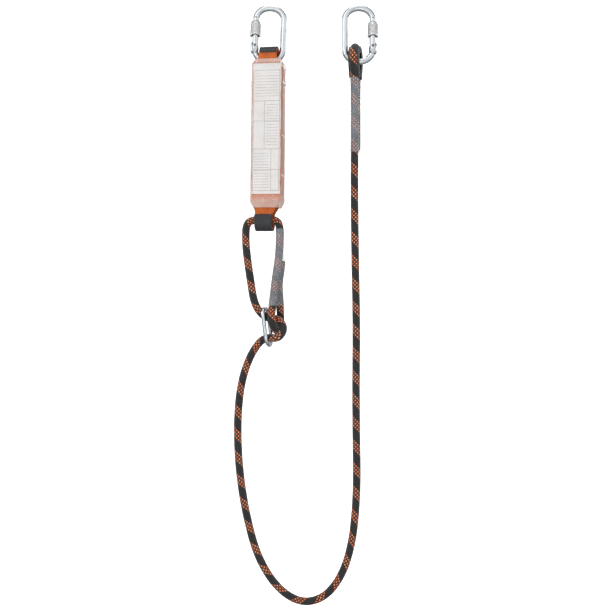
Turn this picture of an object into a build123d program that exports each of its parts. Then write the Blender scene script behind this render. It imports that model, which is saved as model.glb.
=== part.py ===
from build123d import *
import math
import os

os.makedirs("parts", exist_ok=True)

# Shock absorbing lanyard, hung by both screw-gate connectors.
# Frame: +Z up, X across from the absorber side to the free rope side, Y away from the viewer's side.
# Origin: inside bearing point at the top of the absorber-side (left) connector.

# ---- connector (oval screw-gate carabiner), local frame: origin at the inside of its top, gate on -X ----
BAR_R = 5.0             # bar radius
HALF_W = 21.75          # bar centre line to middle plane
CROWN_R = 26.0          # arch, middle radius
CORNER_R = 18.5         # arch, corner radius
TOP_Z = BAR_R           # bar centre line at the top
BOTTOM_Z = -78.1        # bar centre line at the bottom
NOSE_END_Z = -16.0
NOSE_PIN_Z = -11.0
NOSE_PIN_R = 1.3
NOSE_SLOT_W = 3.6
GATE_R = 5.4
GATE_TOP_Z = -16.9
GATE_TONGUE_T = 3.0
PIVOT_Z = -54.0
RIVET_R = 1.5
RIVET_FIT = 0.05
HINGE_TONGUE_T = 4.0
HINGE_SLOT_W = 4.3
HINGE_TONGUE_R = 3.8
GATE_BORE_R = 2.5
SLEEVE_TOP_Z = -17.2
SLEEVE_BOTTOM_Z = -40.4
SLEEVE_BORE_R = 5.47    # running fit on the gate's thread
SLEEVE_NOSE_R = 6.15    # wider bore that rides over the nose
LEFT_LEAN = 2.5         # degrees, left connector leans in its own plane
RIGHT_X = 136.8         # middle plane of the right connector

# ---- absorber ----
ABS_X = -2.4            # middle of the absorber at the bar
ABS_YAW = -11.0         # degrees about Z
ABS_LEAN = 0.65         # degrees about Y
PACK_W = 47.4
PACK_T = 27.0
PACK_TOP = -86.3
PACK_BOTTOM = -296.0
FILM_T = 0.8
FILM_GAP = 0.3
FILM_TOP = -76.5
FILM_BOTTOM = -299.0
LABEL_W = 46.0
LABEL_TOP = -88.5
LABEL_BOTTOM = -283.5
LABEL_T = 0.3
EYE_W = 28.1            # webbing eye width
EYE_DX = 0.8            # upper eye sits a little off the absorber middle
EYE_RI = 11.4           # upper eye, inner radius
EYE_RO = 14.0           # upper eye, outer radius
EYE_Z = -70.8           # upper eye, arch centre
GUARD_T = 1.6
UPPER_GUARD_Z = -62.4   # lower edge of the upper guard
LOW_RI = 8.4
LOW_RO = 11.3
LOW_Z = -328.0
LOW_W = 30.0
LOW_DX = -2.5
LOWER_GUARD_Z = -315.3

# ---- rope ----
ROPE_D = 12.0
ROPE_R = ROPE_D / 2
SLEEVE_T = 0.8
SLEEVE_GAP = 0.15
FAR_X = 131.9           # far eye, middle
FAR_YAW = 15.0          # far eye's plane, turned from the YZ plane
FAR_OFFSET = 6.2        # half the distance between the strands of the far splice

# ---- steel adjuster ring (oval link) ----
RING_WIRE_R = 3.0
RING_HALF_LEN = 29.0    # centre line, half length
RING_HALF_W = 13.2      # centre line, half width


def save(shape, name):
    shape.label = name
    export_step(shape, f"parts/{name}.step")


def solid_of(shape):
    """The one solid of a shape."""
    solids = shape.solids()
    return solids[0] if len(solids) == 1 else Compound(children=list(solids))


def ycyl(r, length, x, z, y=0.0):
    """Cylinder along Y."""
    return Pos(x, y, z) * Rot(90, 0, 0) * Cylinder(r, length)


def xcyl(r, length, x, y, z):
    """Cylinder along X."""
    return Pos(x, y, z) * Rot(0, 90, 0) * Cylinder(r, length)


def zcyl(r, z0, z1, x, y=0.0):
    return Pos(x, y, (z0 + z1) / 2) * Cylinder(r, z1 - z0)


def box(x0, x1, y0, y1, z0, z1):
    return Pos((x0 + x1) / 2, (y0 + y1) / 2, (z0 + z1) / 2) * Box(x1 - x0, y1 - y0, z1 - z0)


# ======================= connector =======================
theta = math.acos((HALF_W - CORNER_R) / (CROWN_R - CORNER_R))
rise = CORNER_R * math.sin(theta) + CROWN_R * (1 - math.sin(theta))
tdeg = math.degrees(theta)
top_c = TOP_Z - rise       # height of the corner arcs' centres at the top
bot_c = BOTTOM_Z + rise
cx = HALF_W - CORNER_R


def frame_path():
    """Bar centre line from the nose, over the top, down the spine, round the bottom to the hinge."""
    gx = -HALF_W
    edges = [
        Line((gx, NOSE_END_Z), (gx, top_c)),
        CenterArc((-cx, top_c), CORNER_R, 180, -tdeg),
        CenterArc((0, TOP_Z - CROWN_R), CROWN_R, 180 - tdeg, -(180 - 2 * tdeg)),
        CenterArc((cx, top_c), CORNER_R, tdeg, -tdeg),
        Line((HALF_W, top_c), (HALF_W, bot_c)),
        CenterArc((cx, bot_c), CORNER_R, 0, -tdeg),
        CenterArc((0, BOTTOM_Z + CROWN_R), CROWN_R, -tdeg, -(180 - 2 * tdeg)),
        CenterArc((-cx, bot_c), CORNER_R, -180 + tdeg, -tdeg + 4),
    ]
    return Plane.XZ * Wire([e.edge() if hasattr(e, "edge") else e for e in edges])


def connector():
    gx = -HALF_W
    path = frame_path()
    start = path @ 0
    bar = sweep(Plane(origin=start, z_dir=path % 0) * Circle(BAR_R), path=path)
    # hinge lug with its outer ear
    lug = zcyl(6.9, -61.5, -49.6, gx)
    lug = lug + Pos(gx, 0, -61.5) * Sphere(6.9)
    lug = lug & box(gx - 7.2, gx + 6.2, -6.2, 6.2, -68.0, -49.6)
    body = bar + lug
    body -= box(gx - 3.4, gx + 12, -8, 8, -54.6, -48.0)
    body -= zcyl(5.8, -54.6, -48.0, gx)
    body -= ycyl(5.8, 20, gx, PIVOT_Z)
    tongue = box(gx - HINGE_TONGUE_R, gx + HINGE_TONGUE_R, -HINGE_TONGUE_T / 2, HINGE_TONGUE_T / 2, -61.0, PIVOT_Z)
    tongue += ycyl(HINGE_TONGUE_R, HINGE_TONGUE_T, gx, PIVOT_Z)
    body += tongue
    body -= ycyl(RIVET_R, 20, gx, PIVOT_Z)
    # nose slot and pin hole
    body -= box(gx - 3.0, gx + 9.0, -NOSE_SLOT_W / 2, NOSE_SLOT_W / 2, NOSE_END_Z - 1, -7.3)
    body -= ycyl(NOSE_PIN_R, 20, gx, NOSE_PIN_Z)
    body = solid_of(body)

    pin = ycyl(NOSE_PIN_R, 9.7, gx, NOSE_PIN_Z)

    rivet = ycyl(RIVET_R, 11.0, gx, PIVOT_Z)
    for s in (-1, 1):
        rivet += ycyl(2.2, 0.6, gx, PIVOT_Z, s * (GATE_R + 0.05 + 0.3))

    # gate: hollow barrel with a slotted foot and a hooked tongue
    gate = zcyl(GATE_R, PIVOT_Z, GATE_TOP_Z, gx)
    foot = zcyl(GATE_R, PIVOT_Z - GATE_R, PIVOT_Z, gx) & ycyl(GATE_R, 20, gx, PIVOT_Z)
    gate += foot
    gate += box(gx - 2.6, gx + 4.3, -GATE_TONGUE_T / 2, GATE_TONGUE_T / 2, GATE_TOP_Z - 1.0, -7.9)
    gate -= ycyl(1.9, 10, gx, NOSE_PIN_Z)
    gate -= box(gx - 4, gx, -4, 4, NOSE_PIN_Z - 1.9, NOSE_PIN_Z + 1.9)
    gate -= box(gx - 8, gx + 8, -HINGE_SLOT_W / 2, HINGE_SLOT_W / 2, PIVOT_Z - 8, PIVOT_Z + 4.3)
    gate -= ycyl(RIVET_R + RIVET_FIT, 20, gx, PIVOT_Z)
    gate -= zcyl(GATE_BORE_R, PIVOT_Z + 3, -30.0, gx)
    gate = solid_of(gate)

    plunger = zcyl(GATE_BORE_R - 0.05, PIVOT_Z + HINGE_TONGUE_R + 0.05, PIVOT_Z + 9.0, gx)
    spring = zcyl(2.2, PIVOT_Z + 9.1, -30.1, gx) - zcyl(1.5, PIVOT_Z + 8, -29, gx)

    # screw sleeve, turned profile
    prof = [
        (SLEEVE_NOSE_R, SLEEVE_TOP_Z), (6.7, SLEEVE_TOP_Z), (7.8, -20.2), (7.95, -20.8), (7.95, -27.9),
        (7.35, -28.3), (7.35, -29.1), (8.1, -29.5), (8.1, -35.6), (8.3, -36.4), (8.3, -39.9), (7.9, SLEEVE_BOTTOM_Z),
        (7.1, SLEEVE_BOTTOM_Z), (7.1, -34.6), (SLEEVE_BORE_R, -34.6), (SLEEVE_BORE_R, -33.9), (6.7, -33.9), (6.7, -31.5),
        (SLEEVE_BORE_R, -31.5), (SLEEVE_BORE_R, -27.3), (SLEEVE_NOSE_R, -27.3),
    ]
    face = make_face(Plane.XZ * Polyline(*prof, close=True))
    sleeve = Pos(gx, 0, 0) * revolve(face, Axis.Z)
    ring = zcyl(6.6, -33.8, -31.6, gx) - zcyl(SLEEVE_BORE_R, -35, -30, gx)
    return {
        "carabiner_body": body, "nose_pin": pin, "hinge_rivet": rivet, "gate": gate, "gate_spring": spring,
        "spring_plunger": plunger, "screw_sleeve": sleeve, "sleeve_stop_ring": ring,
    }


pieces = connector()
for name, shape in pieces.items():
    save(Rot(0, LEFT_LEAN, 0) * shape, f"left_{name}")
    save(Pos(RIGHT_X, 0, 0) * mirror(shape, about=Plane.YZ), f"right_{name}")


# ======================= absorber =======================
def place(shape):
    """From the absorber's own frame to the lanyard's."""
    return Pos(ABS_X, 0, BOTTOM_Z) * Rot(0, ABS_LEAN, 0) * Rot(0, 0, ABS_YAW) * Pos(0, 0, -BOTTOM_Z) * shape


def band(ri, ro, width, zc, z_end, down=False):
    """Webbing bent over: half ring along X with two straight legs."""
    s = -1 if down else 1
    leg = abs(z_end - zc)
    outer = xcyl(ro, width, 0, 0, zc)
    inner = xcyl(ri, width + 2, 0, 0, zc)
    legs = box(-width / 2, width / 2, -ro, ro, min(zc, z_end), max(zc, z_end))
    hole = box(-width, width, -ri, ri, min(zc, z_end) - 1, max(zc, z_end) + 1)
    return (outer + legs) - inner - (hole & box(-width, width, -ri, ri, min(zc, z_end) - (0 if down else 1), max(zc, z_end) + (1 if down else 0)))


upper = band(EYE_RI, EYE_RO, EYE_W, EYE_Z, PACK_TOP + 0.3)
save(place(Pos(EYE_DX, 0, 0) * solid_of(upper)), "upper_eye_webbing")

g = xcyl(EYE_RO + 0.1 + GUARD_T, EYE_W + 0.6, 0, 0, EYE_Z) - xcyl(EYE_RO + 0.1, EYE_W + 4, 0, 0, EYE_Z)
g = g & box(-40, 40, -40, 40, UPPER_GUARD_Z, -40)
save(place(Pos(EYE_DX, 0, 0) * solid_of(g)), "upper_eye_guard")

pack = Box(PACK_W, PACK_T, PACK_TOP - PACK_BOTTOM)
pack = fillet(pack.edges().filter_by(Axis.Z), 5.0)
pack = fillet(pack.edges().group_by(Axis.Z)[0], 3.0)
pack = Pos(0, 0, (PACK_TOP + PACK_BOTTOM) / 2) * pack
save(place(solid_of(pack)), "tear_webbing_pack")

fo_w, fo_t = PACK_W + 2 * (FILM_GAP + LABEL_T + 0.3 + FILM_T), PACK_T + 2 * (FILM_GAP + LABEL_T + 0.3 + FILM_T)
fo_r = 5.0 + FILM_GAP + LABEL_T + 0.3 + FILM_T


def rounded(w, t, r, z0, z1):
    b = Box(w, t, z1 - z0)
    b = fillet(b.edges().filter_by(Axis.Z), r)
    return Pos(0, 0, (z0 + z1) / 2) * b


NECK_Z = -84.0
film_out = rounded(fo_w, fo_t, fo_r, FILM_BOTTOM, NECK_Z) + loft([
    Plane.XY.offset(NECK_Z) * RectangleRounded(fo_w, fo_t, fo_r),
    Plane.XY.offset(FILM_TOP + 2) * RectangleRounded(fo_w - 12.5, fo_t + 0.2, fo_r),
])
film_in = rounded(fo_w - 2 * FILM_T, fo_t - 2 * FILM_T, fo_r - FILM_T, FILM_BOTTOM - 2, NECK_Z) + loft([
    Plane.XY.offset(NECK_Z) * RectangleRounded(fo_w - 2 * FILM_T, fo_t - 2 * FILM_T, fo_r - FILM_T),
    Plane.XY.offset(FILM_TOP + 2) * RectangleRounded(fo_w - 12.5 - 2 * FILM_T, fo_t + 0.2 - 2 * FILM_T, fo_r - FILM_T),
])
film = (film_out - film_in) & box(-60, 60, -60, 60, FILM_BOTTOM - 5, FILM_TOP)
save(place(solid_of(film)), "shrink_cover")

y_front = -PACK_T / 2 - FILM_GAP
label = Pos(0, y_front - LABEL_T / 2, (LABEL_TOP + LABEL_BOTTOM) / 2) * Box(PACK_W - 10.4, LABEL_T, LABEL_TOP - LABEL_BOTTOM)
save(place(label), "ruled_label")

lower = band(LOW_RI, LOW_RO, LOW_W, LOW_Z, PACK_BOTTOM - 0.3, down=True)
save(place(Pos(LOW_DX, 0, 0) * solid_of(lower)), "lower_eye_webbing")
lg = band(LOW_RO + 0.1, LOW_RO + 0.1 + GUARD_T, LOW_W + 0.6, LOW_Z, LOWER_GUARD_Z, down=True)
save(place(Pos(LOW_DX, 0, 0) * solid_of(lg)), "lower_eye_guard")


# ======================= rope =======================
def route(points, name, quiet=False):
    """Straight runs joined by tangent arcs; each arc is 0.45 of its shorter run over the tangent of half the turn."""
    pts = [Vector(*p) for p in points]
    radii, notes = [], []
    for a, b, c in zip(pts, pts[1:], pts[2:]):
        u, v = b - a, c - b
        turn = u.get_angle(v)
        r = 0.45 * min(u.length, v.length) / math.tan(math.radians(turn / 2))
        radii.append(r)
        notes.append((round(turn), round(r)))
    line = FilletPolyline(*pts, radius=radii)
    runs = [round((b - a).length) for a, b in zip(pts, pts[1:])]
    print(name, "length", round(line.length, 1), "runs", runs, "turn/radius", notes)
    return line


def tube(points, name, d=ROPE_D):
    line = route(points, name)
    path = line.wire()
    solid = sweep(Plane(origin=path @ 0, z_dir=path % 0) * Circle(d / 2), path=path)
    print(name, "volume", round(solid.volume), "section x length", round(math.pi * d * d / 4 * line.length))
    return solid_of(solid)


def far(y, z):
    """A point of the far eye's plane."""
    a = math.radians(FAR_YAW)
    return (FAR_X + y * math.sin(a), y * math.cos(a), z)


FAR_TAIL_Z = -212.0
far_eye_points = [
    far(FAR_OFFSET + 0.1, FAR_TAIL_Z), far(FAR_OFFSET + 0.3, -183), far(FAR_OFFSET, -149), far(FAR_OFFSET, -111.0), far(16.4, -83.0),
    far(16.9, -66.5), far(7.2, -56.2), far(-7.2, -56.2), far(-16.9, -66.5), far(-16.4, -83.0), far(-FAR_OFFSET, -111.0),
    far(-FAR_OFFSET, -128.0),
]
save(tube(far_eye_points, "far_eye_rope"), "far_eye_rope")

# main rope: far splice, the hanging bend, the adjuster ring and its bight, the loop through the absorber's lower eye
far_joint = far_eye_points[-1]
adjuster_joint = (5.2, -5.6, -441.0)
main_points = [
    far_joint, (130.6, -5.7, -180.0), (129.8, -3.5, -264.0), (131.0, -1.5, -374.0), (133.4, -0.5, -486.5), (132.4, 0.0, -585.2),
    (133.1, 0.0, -663.9), (134.1, 0.0, -725.2), (131.8, 0.0, -777.0), (126.0, 0.0, -826.6), (111.4, 0.0, -873.9),
    (84.4, 0.0, -908.7), (47.8, 0.0, -917.6), (10.7, 0.0, -894.6), (-19.3, 0.0, -847.6), (-36.9, 0.0, -784.9),
    (-48.3, 0.0, -714.5), (-51.7, 0.0, -644.1), (-47.3, 0.0, -583.9), (-35.0, 0.0, -540.5), (-17.0, -0.5, -511.0),
    (-3.0, -3.2, -505.0), (12.6, -12.2, -507.0), (22.0, -4.5, -492.0), (13.6, 1.4, -476.6), (-9.0, 1.0, -475.2),
    (-25.0, 0.5, -455.0), (-31.0, 0.5, -417.0), (-37.4, 1.5, -373.0), (-38.9, 3.5, -345.0), (-37.3, 4.6, -330.2),
    (-29.9, 4.6, -322.6), (7.1, -2.4, -322.6), (14.3, -2.6, -329.7), (14.9, -2.8, -350.0), (13.6, -3.4, -380.0),
    (7.4, -5.2, -420.0), adjuster_joint,
]
save(tube(main_points, "main_rope"), "main_rope")

adjuster_eye_points = [
    adjuster_joint, (3.2, -6.2, -457.0), (1.0, -12.4, -474.0), (4.6, -11.6, -489.0), (12.4, 3.2, -498.0), (14.6, 14.4, -490.5),
    (15.4, 15.0, -475.0), (14.6, 8.5, -456.0), (13.2, 5.0, -438.0), (12.6, 5.5, -420.0), (15.6, 5.8, -402.0), (16.9, 7.6, -389.0),
]
save(tube(adjuster_eye_points, "adjuster_eye_rope"), "adjuster_eye_rope")


def cut_end(points, name, length=2.4):
    """Melted end of a cut rope: a low rounded button on the end face."""
    a, b = Vector(*points[0]), Vector(*points[1])
    d = (a - b).normalized()
    cap = Pos(0, 0, length / 2) * Cylinder(ROPE_R - 0.1, length)
    cap = fillet(cap.edges().group_by(Axis.Z)[-1], 1.6)
    save(Plane(origin=a + d * 0.02, z_dir=d) * cap, name)


cut_end(far_eye_points, "far_rope_end")
cut_end(list(reversed(adjuster_eye_points)), "adjuster_rope_end")


def slot_section(p, q, r, z):
    """Stadium round two strands p and q at height z."""
    dx, dy = q[0] - p[0], q[1] - p[1]
    sep = math.hypot(dx, dy)
    return Plane.XY.offset(z) * Pos((p[0] + q[0]) / 2, (p[1] + q[1]) / 2) * Rot(0, 0, math.degrees(math.atan2(dy, dx))) * SlotCenterToCenter(sep, 2 * r)


def sleeve_shell(sections):
    outer = loft([slot_section(p, q, ROPE_R + SLEEVE_GAP + SLEEVE_T, z) for p, q, z in sections], ruled=True)
    n = len(sections) - 1
    inner = loft(
        [slot_section(p, q, ROPE_R + SLEEVE_GAP, z + (0.01 if k == 0 else -0.01 if k == n else 0)) for k, (p, q, z) in enumerate(sections)],
        ruled=True,
    )
    return outer, inner


def far2(h):
    return far(-h, 0)[:2], far(h, 0)[:2]


far_sections = [(*far2(8.6), -105.4), (*far2(6.5), -112.0), (*far2(6.4), -150.0), (*far2(6.3), -209.0), (*far2(4.2), -219.0)]
o, i = sleeve_shell(far_sections)
save(solid_of(o - i), "far_splice_sleeve")

adj_sections = [
    ((3.2, -7.6), (14.6, 8.2), -456.6), ((4.9, -6.1), (13.3, 5.3), -441.0), ((6.9, -5.4), (12.9, 5.5), -422.0),
    ((9.4, -4.9), (15.4, 5.8), -403.0), ((11.6, -4.1), (16.6, 7.2), -388.0), ((12.9, -3.7), (15.4, 3.0), -380.0),
]
o, i = sleeve_shell(adj_sections)
upper_path = route([(14.5, -2.6, -335.5), (14.85, -2.8, -350.0), (13.6, -3.4, -380.0), (12.6, -3.7, -390.0)], "adjuster_sleeve_path").wire()
tube_o = sweep(Plane(origin=upper_path @ 0, z_dir=upper_path % 0) * Circle(ROPE_R + SLEEVE_GAP + SLEEVE_T), path=upper_path)
tube_i = sweep(Plane(origin=upper_path @ 0, z_dir=upper_path % 0) * Circle(ROPE_R + SLEEVE_GAP), path=upper_path)
cut_top = box(-50, 60, -50, 50, -384.0, -300)
save(solid_of((tube_o & cut_top) - tube_i - i), "adjuster_sleeve_neck")
cut_low = box(-50, 60, -50, 50, -470, -384.2)
save(solid_of((o & cut_low) - i), "adjuster_splice_sleeve")

# thimble: channel that lines the inside of the far eye
th_points = [far(8.6, -104.4), far(16.4, -83.0), far(16.9, -66.5), far(7.2, -56.2), far(-7.2, -56.2), far(-16.9, -66.5), far(-16.4, -83.0), far(-8.6, -104.4)]
th_path = route(th_points, "thimble_path").wire()
th_plane = Plane(origin=th_path @ 0, x_dir=(math.cos(math.radians(FAR_YAW)), -math.sin(math.radians(FAR_YAW)), 0), z_dir=th_path % 0)
inward = Vector(*far(0, -80)) - Vector(*far(8.6, -80))
sgn = 1 if th_plane.y_dir.dot(inward) > 0 else -1
prof = Pos(0, sgn * 3.4) * Rectangle(16.0, 9.6)
prof -= Circle(ROPE_R + 0.2)
prof -= Pos(0, -sgn * 6) * Rectangle(2 * (ROPE_R + 0.2), 12.0)
thimble = sweep(th_plane * prof, path=th_path)
save(solid_of(thimble), "far_thimble")

# steel adjuster ring
half = RING_HALF_LEN - RING_HALF_W
ring_wire = Wire([
    Line((RING_HALF_W, -half), (RING_HALF_W, half)).edge(),
    CenterArc((0, half), RING_HALF_W, 0, 180).edge(),
    Line((-RING_HALF_W, half), (-RING_HALF_W, -half)).edge(),
    CenterArc((0, -half), RING_HALF_W, 180, 180).edge(),
])
ring_path = Plane.YZ * ring_wire
link = sweep(Plane(origin=ring_path @ 0, z_dir=ring_path % 0) * Circle(RING_WIRE_R), path=ring_path)
link = Pos(-5.2, 0, -488.6) * Rot(0, 0, -16.5) * Rot(0, -7.5, 0) * link
save(solid_of(link), "adjuster_ring")
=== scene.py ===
import math

import bpy
import mathutils
import numpy as np
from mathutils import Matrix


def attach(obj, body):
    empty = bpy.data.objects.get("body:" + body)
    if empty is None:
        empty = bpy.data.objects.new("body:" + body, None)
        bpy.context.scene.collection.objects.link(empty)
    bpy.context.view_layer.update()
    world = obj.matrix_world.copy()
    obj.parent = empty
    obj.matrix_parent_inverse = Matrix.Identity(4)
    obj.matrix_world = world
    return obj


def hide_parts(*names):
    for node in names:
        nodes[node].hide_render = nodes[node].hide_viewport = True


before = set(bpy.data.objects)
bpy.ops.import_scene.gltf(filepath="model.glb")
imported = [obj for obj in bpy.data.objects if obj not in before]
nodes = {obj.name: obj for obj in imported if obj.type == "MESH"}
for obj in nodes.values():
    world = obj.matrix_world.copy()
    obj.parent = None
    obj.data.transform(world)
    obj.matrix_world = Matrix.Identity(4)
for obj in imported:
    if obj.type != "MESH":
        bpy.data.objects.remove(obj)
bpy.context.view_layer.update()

MM = 0.001
rng = np.random.default_rng(7)


# ---------------------------------------------------------------- camera
scene = bpy.context.scene
cam_data = bpy.data.cameras.new("camera")
cam = bpy.data.objects.new("camera", cam_data)
scene.collection.objects.link(cam)
CAM_D = 1.6
SPAN = 610 * 1.55 * MM
cam.location = (0.0535, -CAM_D, -0.4551)
cam.rotation_euler = (math.radians(90), 0, 0)
cam_data.sensor_width = 36
cam_data.lens = 36 * CAM_D / SPAN
cam_data.clip_start = 0.05
cam_data.clip_end = 60
scene.camera = cam
scene.view_settings.view_transform = "Standard"
scene.view_settings.look = "None"


# ---------------------------------------------------------------- node helpers
class Mat:
    """A small builder for procedural materials."""

    def __init__(self, name):
        self.m = bpy.data.materials.new(name)
        self.m.use_nodes = True
        self.t = self.m.node_tree
        self.t.nodes.clear()
        self.out = self.t.nodes.new("ShaderNodeOutputMaterial")
        self.p = self.t.nodes.new("ShaderNodeBsdfPrincipled")
        self.t.links.new(self.p.outputs[0], self.out.inputs[0])

    def set(self, **kw):
        for k, v in kw.items():
            self.p.inputs[k.replace("_", " ")].default_value = v
        return self

    def node(self, kind, **attrs):
        n = self.t.nodes.new(kind)
        for k, v in attrs.items():
            setattr(n, k, v)
        return n

    def link(self, a, b):
        self.t.links.new(a, b)

    def put(self, value, socket):
        if hasattr(value, "is_linked") or hasattr(value, "links"):
            self.link(value, socket)
        else:
            socket.default_value = value

    def math(self, op, a, b=None, c=None, clamp=False):
        n = self.node("ShaderNodeMath", operation=op)
        n.use_clamp = clamp
        self.put(a, n.inputs[0])
        if b is not None:
            self.put(b, n.inputs[1])
        if c is not None:
            self.put(c, n.inputs[2])
        return n.outputs[0]

    def mix(self, fac, a, b):
        n = self.node("ShaderNodeMix", data_type="RGBA")
        self.put(fac, n.inputs["Factor"])
        for v, s in ((a, n.inputs[6]), (b, n.inputs[7])):
            if isinstance(v, tuple):
                s.default_value = (*v, 1) if len(v) == 3 else v
            else:
                self.link(v, s)
        return n.outputs[2]

    def coords(self, kind="Object"):
        return self.node("ShaderNodeTexCoord").outputs[kind]

    def noise(self, scale, detail=3.0, rough=0.55, vector=None):
        n = self.node("ShaderNodeTexNoise")
        n.inputs["Scale"].default_value = scale
        n.inputs["Detail"].default_value = detail
        n.inputs["Roughness"].default_value = rough
        self.link(vector if vector is not None else self.coords(), n.inputs["Vector"])
        return n.outputs["Fac"]

    def ramp(self, fac, stops):
        n = self.node("ShaderNodeValToRGB")
        e = n.color_ramp.elements
        while len(e) < len(stops):
            e.new(0.5)
        for el, (pos, col) in zip(e, stops):
            el.position = pos
            el.color = (*col, 1) if len(col) == 3 else col
        self.link(fac, n.inputs[0])
        return n.outputs[0]

    def rng(self, fac, lo, hi, a=0.0, b=1.0):
        n = self.node("ShaderNodeMapRange")
        self.link(fac, n.inputs[0])
        n.inputs[1].default_value = a
        n.inputs[2].default_value = b
        n.inputs[3].default_value = lo
        n.inputs[4].default_value = hi
        return n.outputs[0]

    def bump(self, height, strength=0.5, distance=0.0003, normal=None):
        n = self.node("ShaderNodeBump")
        n.inputs["Strength"].default_value = strength
        n.inputs["Distance"].default_value = distance
        self.link(height, n.inputs["Height"])
        if normal is not None:
            self.link(normal, n.inputs["Normal"])
        return n.outputs[0]

    def to(self, socket, value):
        self.put(value, self.p.inputs[socket])
        return self

    def uv(self):
        s = self.node("ShaderNodeSeparateXYZ")
        self.link(self.node("ShaderNodeUVMap").outputs[0], s.inputs[0])
        return s.outputs[0], s.outputs[1]


def lin(r, g, b):
    """sRGB 0-255 to linear."""
    return tuple((c / 255 / 12.92) if c <= 10 else ((c / 255 + 0.055) / 1.055) ** 2.4 for c in (r, g, b))


def steel(name, base=(214, 218, 220), rough=(0.2, 0.34), scratch=0.25, pits=900.0):
    k = Mat(name).set(Metallic=1.0)
    co = k.coords()
    big = k.noise(38.0, 4.0, 0.6, co)
    fine = k.noise(pits, 2.0, 0.6, co)
    k.to("Base Color", k.mix(k.rng(big, 0.0, 1.0, 0.35, 0.7), lin(*[c - 14 for c in base]), lin(*base)))
    k.to("Roughness", k.math("ADD", k.rng(big, rough[0], rough[1], 0.3, 0.7), k.rng(fine, -0.04, 0.05)))
    k.to("Normal", k.bump(fine, scratch, 0.00005))
    return k.m


m_bar = steel("bright_steel_bar", (208, 212, 215), (0.27, 0.38))
m_gate = steel("bright_steel_gate", (204, 207, 210), (0.27, 0.38))
m_sleeve = steel("knurled_sleeve_steel", (206, 206, 205), (0.36, 0.5), 0.4, 1500.0)
m_pin = steel("pin_steel", (120, 122, 124), (0.35, 0.5))
m_ring = steel("ring_steel", (206, 212, 216), (0.18, 0.3))


# ---------------------------------------------------------------- mesh helpers
def mesh_object(name, verts, faces, uvs=None, mats=(), smooth=True, face_mats=None):
    me = bpy.data.meshes.new(name)
    me.from_pydata([tuple(v) for v in np.asarray(verts, float)], [], [tuple(int(i) for i in f) for f in faces])
    if uvs is not None:
        layer = me.uv_layers.new(name="UVMap")
        flat = np.asarray(uvs, dtype=np.float32).reshape(-1)
        layer.data.foreach_set("uv", flat)
    for m in mats:
        me.materials.append(m)
    if face_mats is not None:
        me.polygons.foreach_set("material_index", np.asarray(face_mats, dtype=np.int32))
    if smooth:
        me.polygons.foreach_set("use_smooth", np.ones(len(me.polygons), dtype=bool))
    me.validate()
    me.update()
    ob = bpy.data.objects.new(name, me)
    scene.collection.objects.link(ob)
    return ob


def grid_faces(rows, cols, close_cols=True, flip=False):
    """Quads of a rows x cols grid of points; columns wrap if close_cols. Also the grid corners of each face, for UVs."""
    r = np.arange(rows - 1)[:, None]
    n = cols if close_cols else cols - 1
    c = np.arange(n)[None, :]
    a = r * cols + c
    b = r * cols + (c + 1) % cols
    d = (r + 1) * cols + c
    e = (r + 1) * cols + (c + 1) % cols
    f = np.stack([a, b, e, d], -1).reshape(-1, 4)
    rr, cc = np.broadcast_arrays(r, c)
    g = np.stack([np.stack([rr, cc], -1), np.stack([rr, cc + 1], -1), np.stack([rr + 1, cc + 1], -1), np.stack([rr + 1, cc], -1)], -2).reshape(-1, 4, 2)
    if flip:
        f, g = f[:, ::-1], g[:, ::-1]
    return f, g


def route_line(name, pts_mm, step=0.8):
    """Evenly spaced points read from the route's own NURBS spline, in metres."""
    cu = bpy.data.curves.new(name, "CURVE")
    cu.dimensions = "3D"
    sp = cu.splines.new("NURBS")
    sp.points.add(len(pts_mm) - 1)
    for p, q in zip(sp.points, pts_mm):
        p.co = (q[0] * MM, q[1] * MM, q[2] * MM, 1.0)
    sp.order_u = 3
    sp.use_endpoint_u = True
    sp.resolution_u = 24
    ob = bpy.data.objects.new(name, cu)
    scene.collection.objects.link(ob)
    bpy.context.view_layer.update()
    me = bpy.data.meshes.new_from_object(ob)
    p = np.array([v.co[:] for v in me.vertices])
    bpy.data.objects.remove(ob)
    bpy.data.meshes.remove(me)
    d = np.r_[0, np.cumsum(np.linalg.norm(np.diff(p, axis=0), axis=1))]
    keep = np.r_[True, np.diff(d) > 1e-9]
    p, d = p[keep], d[keep]
    n = max(2, int(round(d[-1] / (step * MM))) + 1)
    s = np.linspace(0, d[-1], n)
    return np.stack([np.interp(s, d, p[:, k]) for k in range(3)], 1), s


def frames(line):
    """Tangents and side vectors that don't twist along the line."""
    t = np.gradient(line, axis=0)
    t /= np.linalg.norm(t, axis=1)[:, None]
    n = np.zeros_like(t)
    first = np.array([0.0, -1.0, 0.0])
    first -= t[0] * first.dot(t[0])
    n[0] = first / np.linalg.norm(first)
    for k in range(1, len(t)):
        v = n[k - 1] - t[k] * n[k - 1].dot(t[k])
        n[k] = v / np.linalg.norm(v)
    return t, n, np.cross(t, n)


# ---------------------------------------------------------------- rope
ROPE_R = 6.0 * MM
PLAIT = 12
LEAD = 36.0 * MM
AROUND = 60


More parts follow.
